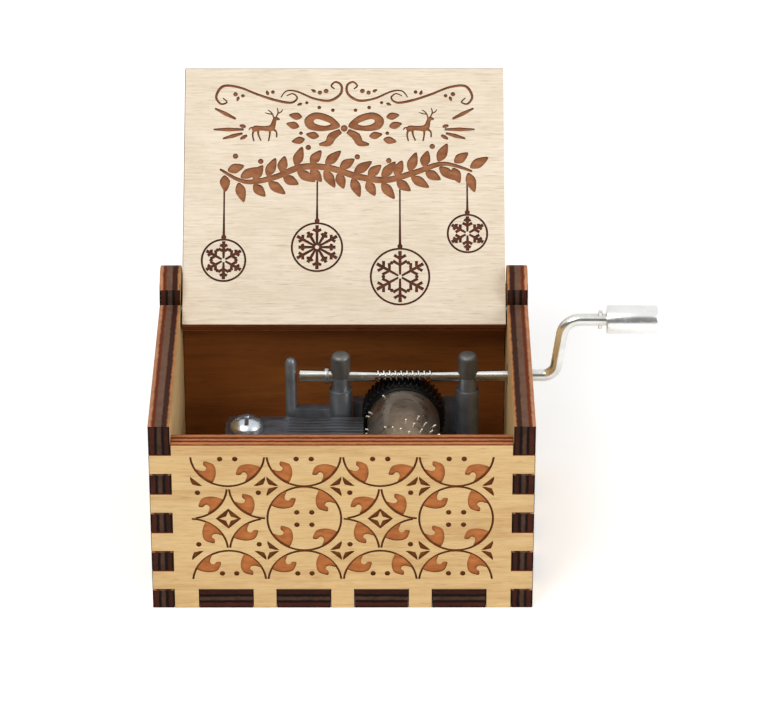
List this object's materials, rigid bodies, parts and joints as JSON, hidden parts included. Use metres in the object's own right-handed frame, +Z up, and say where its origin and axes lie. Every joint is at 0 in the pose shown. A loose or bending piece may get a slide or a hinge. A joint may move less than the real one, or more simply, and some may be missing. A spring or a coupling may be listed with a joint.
{
  "type": "hand crank music box",
  "caption": "Finger-jointed plywood box with a tilting engraved lid and, inside, a crank-driven pinned-cylinder and comb movement.",
  "frame": {"origin": "centre of the wooden case's underside, on the surface that the box stands on", "axes": "+X towards the crank, -Y the front of the case, +Z up; -Z is out of the underside"},
  "size_m": [0.0861, 0.0766, 0.0661],
  "materials": {
    "wood": "laser-cut bare plywood, burnt edges",
    "lid_wood": "laser-cut bare plywood, paler face, burnt edges",
    "pin_steel": "plain",
    "zinc_casting": "as-cast zinc alloy",
    "spring_steel": "ground and oiled",
    "screw_steel": "bright plated",
    "nickel_drum": "nickel plated",
    "black_plastic": "moulded",
    "chrome": "bright plated"
  },
  "bodies": {
    "case": {"front_panel": "wood", "back_panel": "wood", "left_side_panel": "wood", "right_side_panel": "wood", "bottom_panel": "wood", "movement_frame": "zinc_casting", "comb": "spring_steel", "comb_screw_rear": "screw_steel", "comb_screw_front": "screw_steel", "bearing_cap_left": "zinc_casting", "bearing_cap_right": "zinc_casting", "mounting_screw_1": "pin_steel", "mounting_screw_2": "pin_steel", "mounting_screw_3": "pin_steel"},
    "lid": {"lid": "lid_wood", "hinge_pin_left": "pin_steel", "hinge_pin_right": "pin_steel"},
    "cylinder": {"cylinder_drum": "nickel_drum", "drum_end_plate_front": "black_plastic", "drum_end_plate_rear": "black_plastic", "cylinder_arbor": "pin_steel", "cylinder_gear": "black_plastic"},
    "crank": {"crank_shaft": "chrome", "retaining_ring": "pin_steel"},
    "knob": {"crank_knob": "chrome"}
  },
  "joints": [
    {"name": "lid_hinge", "type": "hinge", "parent": "case", "child": "lid", "pos_m": [0, 0.018, 0.0335], "axis": [1, 0, 0], "range_deg": [0, 135]},
    {"name": "cylinder_turn", "type": "hinge", "parent": "case", "child": "cylinder", "pos_m": [0.0104, 0, 0.0171], "axis": [0, 1, 0], "continuous": true},
    {"name": "crank_turn", "type": "hinge", "parent": "case", "child": "crank", "pos_m": [0, 0.01, 0.025], "axis": [1, 0, 0], "continuous": true},
    {"name": "knob_spin", "type": "hinge", "parent": "crank", "child": "knob", "pos_m": [0.0497, 0.01, 0.0359], "axis": [1, 0, 0], "continuous": true}
  ],
  "couplings": [
    {"joint": "cylinder_turn", "follows": "crank_turn", "ratio": -0.022727}
  ]
}
